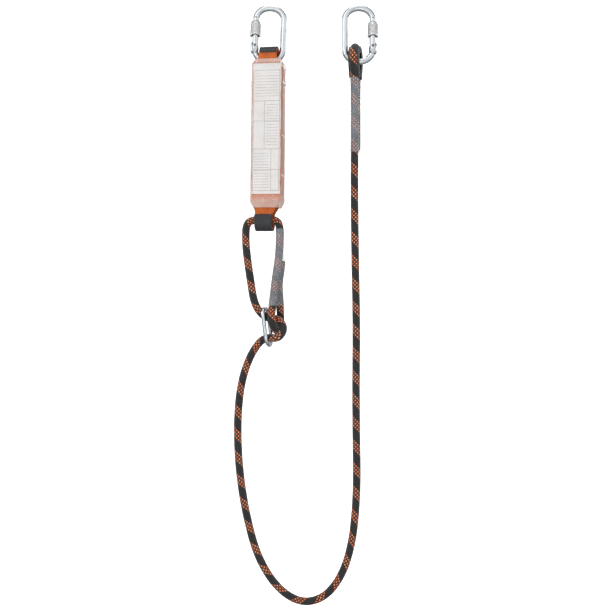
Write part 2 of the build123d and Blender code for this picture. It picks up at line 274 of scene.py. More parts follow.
def rope_material(name, shift):
    k = Mat(name).set(Roughness=0.78)
    k.p.inputs["Sheen Weight"].default_value = 0.25
    k.p.inputs["Sheen Roughness"].default_value = 0.5
    u, v = k.uv()
    v = k.math("ADD", v, shift)
    a = k.math("MULTIPLY", k.math("ADD", u, v), float(PLAIT))
    b = k.math("MULTIPLY", k.math("SUBTRACT", u, v), float(PLAIT))
    fi, fj = k.math("FLOOR", a), k.math("FLOOR", b)
    par = k.math("FRACT", k.math("MULTIPLY", k.math("ADD", fi, fj), 0.5))
    top = k.math("LESS_THAN", par, 0.25)
    m = k.math("FLOORED_MODULO", fi, float(PLAIT))
    band = k.math("LESS_THAN", m, 4.5)
    even = k.math("LESS_THAN", k.math("FRACT", k.math("MULTIPLY", m, 0.5)), 0.25)
    bright = k.math("MULTIPLY", k.math("MULTIPLY", top, band), even)
    fa, fb = k.math("FRACT", a), k.math("FRACT", b)
    yarn = k.math("SINE", k.math("MULTIPLY", k.math("ADD", fb, k.math("MULTIPLY", fa, 0.15)), 2 * math.pi * 4.0))
    co = k.coords()
    tint = k.noise(160.0, 3.0, 0.6, co)
    fuzz = k.noise(1400.0, 2.0, 0.6, co)
    black = k.mix(k.rng(tint, 0.0, 1.0, 0.3, 0.7), lin(17, 16, 17), lin(34, 31, 33))
    brown = k.mix(band, black, lin(66, 26, 12))
    orange = k.mix(k.rng(tint, 0.0, 1.0, 0.35, 0.65), lin(234, 108, 44), lin(250, 172, 124))
    colour = k.mix(bright, brown, orange)
    colour = k.mix(k.math("MULTIPLY", k.rng(yarn, 0.0, 0.35, -1.0, 1.0), k.rng(fuzz, 0.3, 1.0)), colour, lin(18, 16, 17))
    k.to("Base Color", colour)
    k.to("Roughness", k.rng(fuzz, 0.66, 0.9, 0.3, 0.7))
    h = k.math("ADD", k.math("MULTIPLY", yarn, 0.35), k.math("MULTIPLY", fuzz, 0.5))
    k.to("Normal", k.bump(h, 0.55, 0.00022))
    return k.m


def make_rope(name, pts_mm, shift=0.0, lead=LEAD, body="lanyard_line"):
    line, s = route_line(name + "_route", pts_mm)
    t, n, b = frames(line)
    th = np.arange(AROUND) / AROUND
    A = PLAIT * (th[None, :] + s[:, None] / lead + shift)
    B = PLAIT * (th[None, :] - s[:, None] / lead - shift)
    i, j = np.floor(A), np.floor(B)
    fa, fb = A - i - 0.5, B - j - 0.5
    s_top = ((i + j) % 2) == 0
    across = np.where(s_top, fa, fb)
    along = np.where(s_top, fb, fa)
    h = (1 - (2 * across) ** 2 * 0.85) * (1 - (2 * along) ** 2 * 0.6)
    r = ROPE_R - 0.42 * MM + 0.62 * MM * h
    r *= 1 + 0.006 * np.sin(s * 173.0)[:, None]
    ang = 2 * np.pi * th[None, :, None]
    v = line[:, None, :] + r[:, :, None] * (np.cos(ang) * n[:, None, :] + np.sin(ang) * b[:, None, :])
    rows = len(line)
    f, g = grid_faces(rows, AROUND, True)
    uv = np.stack([g[:, :, 1] / AROUND, s[g[:, :, 0]] / lead], -1)
    verts = v.reshape(-1, 3)
    base = len(verts)
    verts = np.vstack([verts, line[0] - t[0] * 0.0006, line[-1] + t[-1] * 0.0006])
    k = np.arange(AROUND)
    start = np.stack([np.full(AROUND, base), (k + 1) % AROUND, k], -1)
    last = (rows - 1) * AROUND
    end = np.stack([np.full(AROUND, base + 1), last + k, last + (k + 1) % AROUND], -1)
    faces = [tuple(x) for x in f] + [tuple(x) for x in start] + [tuple(x) for x in end]
    flat_uv = np.vstack([uv.reshape(-1, 2), np.zeros((2 * AROUND * 3, 2))])
    ob = mesh_object(name, verts, faces, flat_uv, [rope_material(name + "_braid", shift)])
    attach(ob, body)
    return ob, line, s


def far(y, z):
    """A point of the far eye's plane."""
    a = math.radians(15.0)
    return (131.9 + y * math.sin(a), y * math.cos(a), z)


OFF = 6.2
far_eye_points = [
    far(-OFF, -128.0), far(-OFF, -111.0), far(-16.4, -83.0), far(-16.9, -66.5), far(-7.2, -56.2), far(7.2, -56.2), far(16.9, -66.5),
    far(16.4, -83.0), far(OFF, -111.0), far(OFF, -149), far(OFF + 0.3, -183), far(OFF + 0.1, -212.0),
]
adjuster_joint = (5.2, -5.6, -441.0)
main_points = [
    far(-OFF, -128.0), (130.6, -5.7, -180.0), (129.8, -3.5, -264.0), (131.0, -1.5, -374.0), (133.4, -0.5, -486.5), (132.4, 0.0, -585.2),
    (133.1, 0.0, -663.9), (134.1, 0.0, -725.2), (131.8, 0.0, -777.0), (126.0, 0.0, -826.6), (111.4, 0.0, -873.9),
    (84.4, 0.0, -908.7), (47.8, 0.0, -917.6), (10.7, 0.0, -894.6), (-19.3, 0.0, -847.6), (-36.9, 0.0, -784.9),
    (-48.3, 0.0, -714.5), (-51.7, 0.0, -644.1), (-47.3, 0.0, -583.9), (-35.0, 0.0, -540.5), (-17.0, -0.5, -511.0),
    (-3.0, -3.2, -505.0), (12.6, -12.2, -507.0), (22.0, -4.5, -492.0), (13.6, 1.4, -476.6), (-9.0, 1.0, -475.2),
    (-25.0, 0.5, -455.0), (-31.0, 0.5, -417.0), (-37.4, 1.5, -373.0), (-38.9, 3.5, -345.0), (-37.3, 4.6, -330.2),
    (-29.9, 4.6, -322.6), (7.1, -2.4, -322.6), (14.3, -2.6, -329.7), (14.9, -2.8, -350.0), (13.6, -3.4, -380.0),
    (7.4, -5.2, -420.0), adjuster_joint,
]
adjuster_eye_points = [
    adjuster_joint, (3.2, -6.2, -457.0), (1.0, -12.4, -474.0), (4.6, -11.6, -489.0), (12.4, 3.2, -498.0), (14.6, 14.4, -490.5),
    (15.4, 15.0, -475.0), (14.6, 8.5, -456.0), (13.2, 5.0, -438.0), (12.6, 5.5, -420.0), (15.6, 5.8, -402.0), (16.9, 7.6, -389.0),
]

main_rope, main_line, main_s = make_rope("braided_main_rope", main_points, -0.12, 35.72 * MM)
eye_rope, eye_line, eye_s = make_rope("braided_adjuster_eye", adjuster_eye_points, 0.44)
far_rope, far_line, far_s = make_rope("braided_far_eye", far_eye_points, 0.68)
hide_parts("main_rope")
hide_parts("adjuster_eye_rope")
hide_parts("far_eye_rope")


# ---------------------------------------------------------------- clear shrink sleeves
def film_material(name, tint, alpha, rough=0.16, wrinkle=220.0, strength=0.35, grime=0.12):
    k = Mat(name).set(Roughness=rough)
    k.p.inputs["Coat Weight"].default_value = 0.6
    k.p.inputs["Coat Roughness"].default_value = 0.08
    co = k.coords()
    big = k.noise(55.0, 3.0, 0.6, co)
    fine = k.noise(wrinkle, 4.0, 0.6, co)
    k.to("Base Color", k.mix(k.rng(big, 0.0, 1.0, 0.3, 0.7), lin(*tint), lin(*[min(255, c + 16) for c in tint])))
    k.to("Alpha", k.math("ADD", k.rng(big, alpha - grime / 2, alpha + grime / 2, 0.3, 0.7), k.rng(fine, -0.02, 0.03)))
    k.to("Roughness", k.rng(fine, rough * 0.7, rough * 1.6, 0.3, 0.7))
    k.to("Normal", k.bump(fine, strength, 0.0006))
    return k.m


m_sleeve_film = film_material("clear_sleeve_plastic", (172, 177, 184), 0.19, 0.17, 70.0, 0.34, 0.05)


def sleeve_mesh(name, sections, wall, body="lanyard_line", waist=0.10, ripples=0.12, n_around=72, rows_mm=2.0):
    """Shrink sleeve pulled tight round two strands: sections are (strand a, strand b, radius, z) in millimetres."""
    z = np.array([q[3] for q in sections])
    order = np.argsort(-z)
    z = z[order]
    a = np.array([sections[k][0] for k in order], float)
    b = np.array([sections[k][1] for k in order], float)
    r = np.array([sections[k][2] for k in order], float)
    zz = np.arange(z[0], z[-1] - 0.01, -rows_mm)
    zz = np.r_[zz, z[-1]]
    ip = lambda col: np.interp(-zz, -z, col)
    A = np.stack([ip(a[:, 0]), ip(a[:, 1])], 1)
    Bq = np.stack([ip(b[:, 0]), ip(b[:, 1])], 1)
    R = ip(r)
    th = np.arange(n_around) / n_around * 2 * np.pi
    out = []
    for layer, inset in ((0, 0.0), (1, wall)):
        rows = []
        for k in range(len(zz)):
            c = (A[k] + Bq[k]) / 2
            d = (Bq[k] - A[k]) / 2
            L = np.linalg.norm(d)
            e = d / L if L > 1e-6 else np.array([1.0, 0.0])
            q = np.array([-e[1], e[0]])
            rr = R[k] - inset
            x = rr * np.cos(th)
            y = rr * np.sin(th)
            x = x + np.sign(np.cos(th)) * L * np.minimum(1, np.abs(np.cos(th)) * 6)
            y = y * (1 - waist * np.exp(-((x / max(L, 0.5)) ** 2) * 2.2) * min(1.0, L / 4))
            y = y + ripples * np.sin(zz[k] * 1.7 + 5 * th) * (1 - layer)
            p = c[None, :] + x[:, None] * e[None, :] + y[:, None] * q[None, :]
            rows.append(np.c_[p, np.full(n_around, zz[k])])
        out.append(np.array(rows))
    rows, n = len(zz), n_around
    v = np.vstack([out[0].reshape(-1, 3), out[1].reshape(-1, 3)]) * MM
    f0, _ = grid_faces(rows, n, True, flip=True)
    f1, _ = grid_faces(rows, n, True)
    f1 = f1 + rows * n
    k = np.arange(n)
    top = np.stack([k, (k + 1) % n, rows * n + (k + 1) % n, rows * n + k], -1)
    lo = (rows - 1) * n
    bot = np.stack([lo + (k + 1) % n, lo + k, rows * n + lo + k, rows * n + lo + (k + 1) % n], -1)
    ob = mesh_object(name, v, np.vstack([f0, f1, top, bot]), None, [m_sleeve_film])
    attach(ob, body)
    return ob


def strand(line, lo, hi, z):
    """Where a run of rope between two indices passes a height, in millimetres."""
    part = line[lo:hi] / MM
    order = np.argsort(part[:, 2])
    return tuple(float(np.interp(z, part[order, 2], part[order, k])) for k in (0, 1))


def split(line, z_low, z_high, from_end=False):
    """Indices of the first or last run of the line that lies between two heights."""
    z = line[:, 2] / MM
    if from_end:
        k = len(z) - 1
        while k > 0 and z_low - 1 <= z[k] <= z_high + 1:
            k -= 1
        return k + 1, len(z)
    k = 0
    while k < len(z) and z_low - 1 <= z[k] <= z_high + 1:
        k += 1
    return 0, k


def toward(a, b, f):
    return (a[0] + (b[0] - a[0]) * f, a[1] + (b[1] - a[1]) * f)


f_up = split(far_line, -130.0, -100.0)
f_down = split(far_line, -213.0, -100.0, True)
m_top = split(main_line, -230.0, -127.0)
far_sections = []
for z in (-104.6, -108, -112, -118, -124, -128.5, -134, -142, -150, -160, -170, -180, -190, -200, -206, -210, -213, -216, -219.0):
    front = strand(far_line, *f_up, z) if z > -128 else strand(main_line, *m_top, z)
    back = strand(far_line, *f_down, max(z, -211.5))
    shut = 0.0 if z > -211 else (-211 - z) / 8 * 0.45
    far_sections.append((front, toward(back, front, shut), 7.0, z))
far_sleeve = sleeve_mesh("far_clear_sleeve", far_sections, 0.3, ripples=0.06, waist=0.06)
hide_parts("far_splice_sleeve")

a_down = split(eye_line, -457.5, -440.0)
a_up = split(eye_line, -457.5, -380.0, True)
m_end = split(main_line, -441.5, -335.0, True)
adj_sections = []
for z in (-456.0, -452, -447, -441.5, -436, -430, -424, -418, -412, -406, -400, -395, -391, -388, -385, -382, -378, -374, -368, -360, -352, -344, -337.0):
    front = strand(eye_line, *a_down, z) if z < -441 else strand(main_line, *m_end, z)
    back = strand(eye_line, *a_up, min(z, -389.5))
    shut = 0.0 if z < -388 else min(1.0, (z + 388) / 12)
    tip = strand(main_line, *m_end, z)
    adj_sections.append((front, toward(back, (tip[0] + 0.05, tip[1] + 0.1), shut), 7.0, z))
adj_sleeve = sleeve_mesh("adjuster_clear_sleeve", adj_sections, 0.3, ripples=0.06, waist=0.06)
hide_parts("adjuster_splice_sleeve", "adjuster_sleeve_neck")


def finish_node(name, mat):
    for slot in nodes[name].material_slots:
        slot.material = mat


def plastic(name, lo, hi, rough=(0.4, 0.55), bump=0.25, scale=700.0):
    k = Mat(name)
    co = k.coords()
    big, fine = k.noise(45.0, 4.0, 0.6, co), k.noise(scale, 3.0, 0.6, co)
    k.to("Base Color", k.mix(k.rng(big, 0.0, 1.0, 0.3, 0.7), lin(*lo), lin(*hi)))
    k.to("Roughness", k.rng(fine, rough[0], rough[1], 0.3, 0.7))
    k.to("Normal", k.bump(fine, bump, 0.00012))
    return k.m


m_thimble = plastic("moulded_black_plastic", (26, 26, 29), (42, 43, 47))
m_melt = plastic("melted_rope_end", (26, 24, 25), (52, 46, 46), (0.3, 0.6), 0.6, 500.0)
m_stop = plastic("stop_ring_plastic", (40, 40, 42), (60, 60, 64))
finish_node("far_thimble", m_thimble)
finish_node("far_rope_end", m_melt)
finish_node("adjuster_rope_end", m_melt)
finish_node("adjuster_ring", m_ring)
for side in ("left", "right"):
    finish_node(side + "_carabiner_body", m_bar)
    finish_node(side + "_gate", m_gate)
    finish_node(side + "_nose_pin", m_pin)
    finish_node(side + "_hinge_rivet", m_pin)
    finish_node(side + "_gate_spring", m_pin)
    finish_node(side + "_spring_plunger", m_pin)
    finish_node(side + "_sleeve_stop_ring", m_stop)


def length_of(line):
    return float(np.linalg.norm(np.diff(line, axis=0), axis=1).sum())


# ---------------------------------------------------------------- webbing
def place(p):
    """Absorber's own millimetres to row-frame metres."""
    p = np.asarray(p, float).reshape(-1, 3)
    q = p + [0, 0, 78.1]
    a = math.radians(-11.0)
    x, y = q[:, 0] * math.cos(a) - q[:, 1] * math.sin(a), q[:, 0] * math.sin(a) + q[:, 1] * math.cos(a)
    c = math.radians(0.65)
    z = q[:, 2]
    x2, z2 = x * math.cos(c) + z * math.sin(c), -x * math.sin(c) + z * math.cos(c)
    return np.stack([x2 - 2.4, y, z2 - 78.1], 1) * MM


def webbing_material(name, dark, light, pitch=(1.6, 1.25), dull=0.0):
    """Herringbone webbing; u runs across the tape and v along it, both in millimetres."""
    k = Mat(name).set(Roughness=0.72)
    k.p.inputs["Sheen Weight"].default_value = 0.3
    u, v = k.uv()
    zig = k.math("PINGPONG", k.math("DIVIDE", u, 4.6), 1.0)
    row = k.math("SINE", k.math("MULTIPLY", k.math("ADD", k.math("DIVIDE", v, pitch[1]), k.math("MULTIPLY", zig, 2.2)), 2 * math.pi))
    col = k.math("SINE", k.math("MULTIPLY", k.math("DIVIDE", u, pitch[0]), 2 * math.pi))
    co = k.coords()
    big, fine = k.noise(70.0, 4.0, 0.6, co), k.noise(1800.0, 2.0, 0.6, co)
    h = k.math("ADD", k.math("MULTIPLY", row, 0.55), k.math("MULTIPLY", col, 0.35))
    # painted shade in the weave valleys and painted highlight on the weave ridges, taken from the weave height h, plus
    # random tone from big noise
    weave_shade_and_tone = k.math("ADD", k.rng(h, 0.0, 0.6, -0.9, 0.9), k.rng(big, -0.15, 0.5, 0.3, 0.7), clamp=True)
    c = k.mix(weave_shade_and_tone, lin(*dark), lin(*light))
    c = k.mix(k.rng(fine, 0.0, 0.25, 0.35, 0.75), c, lin(*[min(255, int(x * 1.15) + 12) for x in light]))
    if dull:
        c = k.mix(dull, c, lin(120, 60, 20))
    k.to("Base Color", c)
    k.to("Normal", k.bump(k.math("ADD", h, k.math("MULTIPLY", fine, 0.6)), 0.8, 0.0004))
    return k.m


m_web = webbing_material("orange_webbing", (166, 60, 0), (222, 110, 6))
m_web_fold = webbing_material("folded_tear_webbing", (160, 66, 12), (222, 118, 36), (1.8, 1.4))
m_thread = plastic("stitch_thread", (206, 120, 50), (240, 168, 96), (0.5, 0.7), 0.3, 2600.0)
m_dark_thread = plastic("dark_stitch_thread", (20, 20, 22), (44, 44, 48), (0.5, 0.7), 0.3, 2600.0)


def guard_material():
    k = Mat("black_guard_textile").set(Roughness=0.6)
    u, v = k.uv()
    row = k.math("SINE", k.math("MULTIPLY", k.math("ADD", v, u), 2 * math.pi / 1.5))
    col = k.math("SINE", k.math("MULTIPLY", k.math("SUBTRACT", v, u), 2 * math.pi / 1.5))
    co = k.coords()
    big, fine = k.noise(60.0, 4.0, 0.6, co), k.noise(1500.0, 2.0, 0.6, co)
    h = k.math("ADD", k.math("MULTIPLY", row, 0.4), k.math("MULTIPLY", col, 0.4))
    c = k.mix(k.rng(big, 0.0, 1.0, 0.3, 0.7), lin(26, 26, 29), lin(42, 42, 47))
    # painted highlight: the raised weave (high h) is lightened towards a lighter grey
    c = k.mix(k.rng(h, 0.0, 0.5, -0.8, 0.8), c, lin(60, 60, 66))
    k.to("Base Color", c)
    k.to("Roughness", k.rng(fine, 0.45, 0.72, 0.3, 0.7))
    k.to("Normal", k.bump(k.math("ADD", h, k.math("MULTIPLY", fine, 0.5)), 0.6, 0.0003))
    return k.m


m_guard = guard_material()


def strap(name, path, half, thick, mat, waves=0.0, replaces=(), shear=None, edge=0.35):
    """A tape of webbing: path is (y, z) along the tape, half is the half width there, in the absorber's own millimetres."""
    path = np.array(path, float)
    half = np.broadcast_to(np.asarray(half, float), (len(path),))
    d = np.r_[0, np.cumsum(np.linalg.norm(np.diff(path, axis=0), axis=1))]
    n = max(8, int(d[-1] / 0.8))
    s = np.linspace(0, d[-1], n)
    y, z = np.interp(s, d, path[:, 0]), np.interp(s, d, path[:, 1])
    hw = np.interp(s, d, half)
    dx = np.interp(s, d, shear) if shear is not None else np.zeros(n)
    ty, tz = np.gradient(y), np.gradient(z)
    L = np.hypot(ty, tz) + 1e-9
    ny, nz = -tz / L, ty / L
    cols = 41
    u = np.linspace(-1, 1, cols)
    prof = thick / 2 * (1 - (np.abs(u) ** 10) * edge)
    rows = []
    for k in range(n):
        w = waves * (math.sin(s[k] * 0.33 + 1.0) * np.cos(u * 2.2) + 0.5 * np.sin(s[k] * 0.9 + u * 3.1))
        x = dx[k] + u * hw[k] + 0.12 * math.sin(s[k] * 1.9)
        top = np.stack([x, y[k] + ny[k] * (prof + w), z[k] + nz[k] * (prof + w)], 1)
        bot = np.stack([x, y[k] + ny[k] * (-prof + w), z[k] + nz[k] * (-prof + w)], 1)[::-1]
        rows.append(np.vstack([top, bot]))
    v = np.array(rows).reshape(-1, 3)
    ring = 2 * cols
    f, g = grid_faces(n, ring, True)
    uu = np.r_[u, u[::-1]]
    wrap = np.r_[uu, uu[0]]
    uv = np.stack([wrap[g[:, :, 1]] * float(hw.mean()), s[g[:, :, 0]]], -1).reshape(-1, 2)
    caps = [tuple(range(ring))[::-1], tuple((n - 1) * ring + i for i in range(ring))]
    uv = np.vstack([uv, np.zeros((2 * ring, 2))])
    ob = mesh_object(name, place(v), [tuple(q) for q in f] + caps, uv, [mat])
    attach(ob, "lanyard_line")
    if replaces:
        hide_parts(*replaces)
    return ob


def stitches(name, runs, mat, r=0.28, body="lanyard_line"):
    """Thread stitches, each a short raised bead from a to b, in the absorber's own millimetres."""
    V, F = [], []
    n = 8
    for a, b in runs:
        a, b = np.array(a, float), np.array(b, float)
        t = (b - a) / (np.linalg.norm(b - a) + 1e-9)
        up = np.array([0, -1.0, 0]) if abs(t[1]) < 0.8 else np.array([1.0, 0, 0])
        q = np.cross(t, up)
        q /= np.linalg.norm(q)
        w = np.cross(q, t)
        base = len(V)
        for f, k in ((0.0, 0.35), (0.12, 0.85), (0.5, 1.1), (0.88, 0.85), (1.0, 0.35)):
            for i in range(n):
                an = 2 * math.pi * i / n
                V.append(a + (b - a) * f + r * k * (math.cos(an) * q + math.sin(an) * w))
        for j in range(4):
            for i in range(n):
                F.append((base + j * n + i, base + j * n + (i + 1) % n, base + (j + 1) * n + (i + 1) % n, base + (j + 1) * n + i))
        F.append(tuple(base + i for i in range(n))[::-1])
        F.append(tuple(base + 4 * n + i for i in range(n)))
    ob = mesh_object(name, place(np.array(V)), F, None, [mat])
    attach(ob, body)
    return ob


def arch(r, zc, z_end, down=False, n=40):
    """A half ring with two legs, seen along X."""
    s = -1 if down else 1
    a = np.linspace(math.pi, 0, n)
    pts = [(-r, z_end)] + [(r * math.cos(t), zc + s * r * math.sin(t)) for t in a] + [(r, z_end)]
    return pts


# upper eye: a doubled tape round the bar, gathered a little where the guard holds it
up = arch(12.7, -70.8, -78.0)
up = [(-10.9, -88.0), (-11.7, -84.5), (-12.5, -81.0)] + up + [(12.5, -81.0), (11.7, -84.5), (10.9, -88.0)]
up_half = [float(np.interp(-z, [58.0, 66.0, 76.0, 86.0], [12.9, 13.3, 15.0, 16.2])) for (_, z) in up]
upper_web = strap("upper_eye_tape", up, up_half, 2.4, m_web, 0.06, ("upper_eye_webbing",), shear=[0.8] * len(up))
upper_guard = strap("upper_eye_wear_guard", [(14.95 * math.cos(t), -70.8 + 14.95 * math.sin(t)) for t in np.linspace(math.pi - 0.30, 0.30, 48)],
                    13.4, 1.5, m_guard, 0.05, ("upper_eye_guard",), shear=[0.8] * 48)
runs = []
for yy in (-14.3, 14.3):
    for zz in np.arange(-80.5, -71.5, 2.4):
        for xx in (-10.8, -8.6, 10.2, 12.4):
            runs.append(((xx, yy, zz), (xx, yy, zz + 1.7)))
    for zz in (-75.4, -78.2):
        for xx in np.arange(-7.5, 9.0, 2.0):
            runs.append(((xx, yy, zz), (xx + 1.1, yy, zz + 2.1)))
stitches("upper_eye_stitching", runs, m_thread)
runs = []
for xx in (-11.4, 13.0):
    for t in np.linspace(math.pi - 0.42, 0.42, 19):
        a, b = t, t - 0.11
        r = 15.75
        runs.append(((xx, r * math.cos(a), -70.8 + r * math.sin(a)), (xx, r * math.cos(b), -70.8 + r * math.sin(b))))
stitches("upper_guard_stitching", runs, m_dark_thread, 0.25)

# lower eye: both legs leave the pack, narrow, and turn round the rope inside the guard
lo_path = arch(9.9, -328.0, -296.6, down=True)
lo_half = [17.6] + [15.2] * (len(lo_path) - 2) + [17.6]
lo_path2 = [lo_path[0], (-9.7, -304.0), (-9.9, -316.0)] + lo_path[1:-1] + [(9.9, -316.0), (9.7, -304.0), lo_path[-1]]
lo_half2 = [17.6, 17.8, 12.8] + [12.8] * (len(lo_path) - 2) + [12.8, 17.8, 17.6]
lo_dx2 = [-1.6, -1.2] + [-3.7] * len(lo_path) + [-1.2, -1.6]
lower_web = strap("lower_eye_tape", lo_path2, lo_half2, 2.6, m_web, 0.10, ("lower_eye_webbing",),
                  shear=lo_dx2)
fold = strap("lower_eye_inner_fold", [(-12.3, -296.8), (-11.7, -304.0), (-11.35, -314.5)], [9.0, 7.2, 5.6], 0.9, m_web, 0.08,
             shear=[-4.0, -3.4, -3.0])
lg_path = arch(12.15, -328.0, -315.3, down=True)
lower_guard = strap("lower_eye_wear_guard", lg_path, [13.7] * len(lg_path), 1.5, m_guard, 0.07, ("lower_eye_guard",),
                    shear=[-3.9] * len(lg_path))
runs = []
for yy in (-12.95, 12.95):
    for zz in np.arange(-328.0, -316.5, 2.3):
        for xx in (-15.9, 8.1):
            runs.append(((xx, yy, zz), (xx, yy, zz + 1.6)))
    for xx in np.arange(-15.4, 7.0, 2.3):
        runs.append(((xx, yy, -316.8), (xx + 1.6, yy, -316.8)))
stitches("lower_guard_stitching", runs, m_dark_thread, 0.25)
runs = []
for zz in np.arange(-313.5, -299.0, 2.4):
    for xx in (-14.4, -12.4, 6.4, 8.4):
        runs.append(((xx, -11.7 - 0.02 * (zz + 314), zz), (xx, -11.7, zz + 1.7)))
        runs.append(((xx, 11.7, zz), (xx, 11.7, zz + 1.7)))
stitches("lower_eye_stitching", runs, m_thread)


# ---------------------------------------------------------------- folded tear webbing
def zigzag(z0, z1, layers, t, y0, wob=0.5):
    """Tear webbing stowed in long folds that lie against each other, path in (y, z)."""
    pts = []
    for i in range(layers):
        y = y0 + i * t
        ends = (z0 - 1.6 * rng.random() * wob, z1 + 1.6 * rng.random() * wob)
        a, b = ends if i % 2 == 0 else ends[::-1]
        for f in np.linspace(0.0, 1.0, 28):
            pts.append((y + 0.16 * math.sin(f * 21 + i * 1.7), a + (b - a) * f))
        if i < layers - 1:
            for k in range(1, 8):
                an = math.pi * k / 8
                s = -1 if i % 2 == 0 else 1
                pts.append((y + t / 2 - t / 2 * math.cos(an), b + s * t / 2 * math.sin(an)))
    return pts


PACK_LAYERS = 9
pitch = 2.95
zz_path = zigzag(-88.4, -293.5, PACK_LAYERS, pitch, -11.9)
pack_web = strap("stowed_tear_webbing", zz_path, 23.4, 2.5, m_web_fold, 0.0, ("tear_webbing_pack",), edge=0.5)
runs = []
for zz in np.arange(-291.0, -90.0, 3.4):
    for xx in (-23.0, 23.0):
        pass
for k, yy in enumerate(np.arange(-10.4, 11.0, pitch)):
    for zz in np.arange(-290.0, -92.0, 5.2):
        for xx in (-23.55, 23.55):
            runs.append(((xx, yy - 0.9, zz + (k % 2) * 2.2), (xx, yy + 0.9, zz + 1.5 + (k % 2) * 2.2)))
stitches("tear_webbing_edge_threads", runs, m_thread, 0.22)


# ---------------------------------------------------------------- label
def label_material():
    k = Mat("ruled_label_film").set(Roughness=0.42)
    u, v = k.uv()
    co = k.coords()
    big, fine = k.noise(30.0, 3.0, 0.5, co), k.noise(900.0, 2.0, 0.5, co)
    paper = k.mix(k.rng(big, 0.0, 1.0, 0.3, 0.7), lin(212, 212, 210), lin(222, 222, 221))

    def line(socket, at, w):
        return k.math("LESS_THAN", k.math("ABSOLUTE", k.math("SUBTRACT", socket, at)), w)

    def inside(socket, lo, hi):
        return k.math("MULTIPLY", k.math("GREATER_THAN", socket, lo), k.math("LESS_THAN", socket, hi))

    across = inside(u, -20.6, 20.6)
    down = inside(v, 11.0, 196.0)
    marks = None

    def add(x):
        nonlocal marks
        marks = x if marks is None else k.math("MAXIMUM", marks, x)

    for at in (11.0, 58.0, 89.0, 132.0, 164.0, 196.0):
        add(k.math("MULTIPLY", line(v, at, 0.32), across))
    for at in (-20.6, 20.6):
        add(k.math("MULTIPLY", line(u, at, 0.32), down))
    add(k.math("MULTIPLY", line(u, -3.0, 0.3), inside(v, 58.0, 132.0)))
    add(k.math("MULTIPLY", line(u, 8.0, 0.3), inside(v, 132.0, 196.0)))
    ruled = k.math("LESS_THAN", k.math("ABSOLUTE", k.math("SUBTRACT", k.math("FRACT", k.math("DIVIDE", v, 4.4)), 0.5)), 0.055)
    zone = k.math("MULTIPLY", inside(u, -18.0, 18.4), inside(v, 15.5, 54.0))
    zone2 = k.math("MULTIPLY", inside(u, 0.0, 18.4), inside(v, 62.0, 128.0))
    zone3 = k.math("MULTIPLY", inside(u, -18.0, 5.0), inside(v, 136.0, 192.0))
    soft = k.math("MULTIPLY", ruled, k.math("MAXIMUM", k.math("MAXIMUM", zone, zone2), zone3))
    c = k.mix(k.math("MULTIPLY", marks, 0.75), paper, lin(96, 98, 104))
    c = k.mix(k.math("MULTIPLY", soft, 0.85), c, lin(110, 112, 118))
    k.to("Base Color", c)
    k.to("Roughness", k.rng(fine, 0.36, 0.5, 0.3, 0.7))
    k.to("Normal", k.bump(k.math("ADD", big, k.math("MULTIPLY", fine, 0.05)), 0.25, 0.0012))
    return k.m


def label_sheet():
    nu, nv = 49, 200
    hw = 23.6
    z0, z1 = -83.2, -284.4
    V, G = [], []
    for side in (0, 1):
        for i in range(nv):
            f = i / (nv - 1)
            z = z0 + (z1 - z0) * f
            for j in range(nu):
                u = -1 + 2 * j / (nu - 1)
                x = u * hw
                bend = max(0.0, abs(x) - 19.6)
                y = -13.62 + 0.12 * math.sin(z * 0.12 + u * 1.3) * (1 - abs(u)) + 0.10 * math.sin(z * 0.33 + 2 * u)
                y += 5.2 * (1 - math.cos(min(bend / 5.2, 1.2)))
                xx = math.copysign(min(abs(x), 19.6) + 5.2 * math.sin(min(bend / 5.2, 1.2)), x)
                V.append((xx, y + (0.16 if side else 0.0), z))
    f0, g0 = grid_faces(nv, nu, False, flip=True)
    f1, g1 = grid_faces(nv, nu, False)
    f1 = f1 + nv * nu
    uv = np.concatenate([g0, g1]).astype(float)
    uv = np.stack([(-1 + 2 * uv[..., 1] / (nu - 1)) * hw, uv[..., 0] / (nv - 1) * (z0 - z1)], -1)
    ob = mesh_object("ruled_label_sheet", place(np.array(V)), np.concatenate([f0, f1]), uv.reshape(-1, 2), [label_material()])
    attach(ob, "lanyard_line")
    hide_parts("ruled_label")
    return ob


label_sheet()


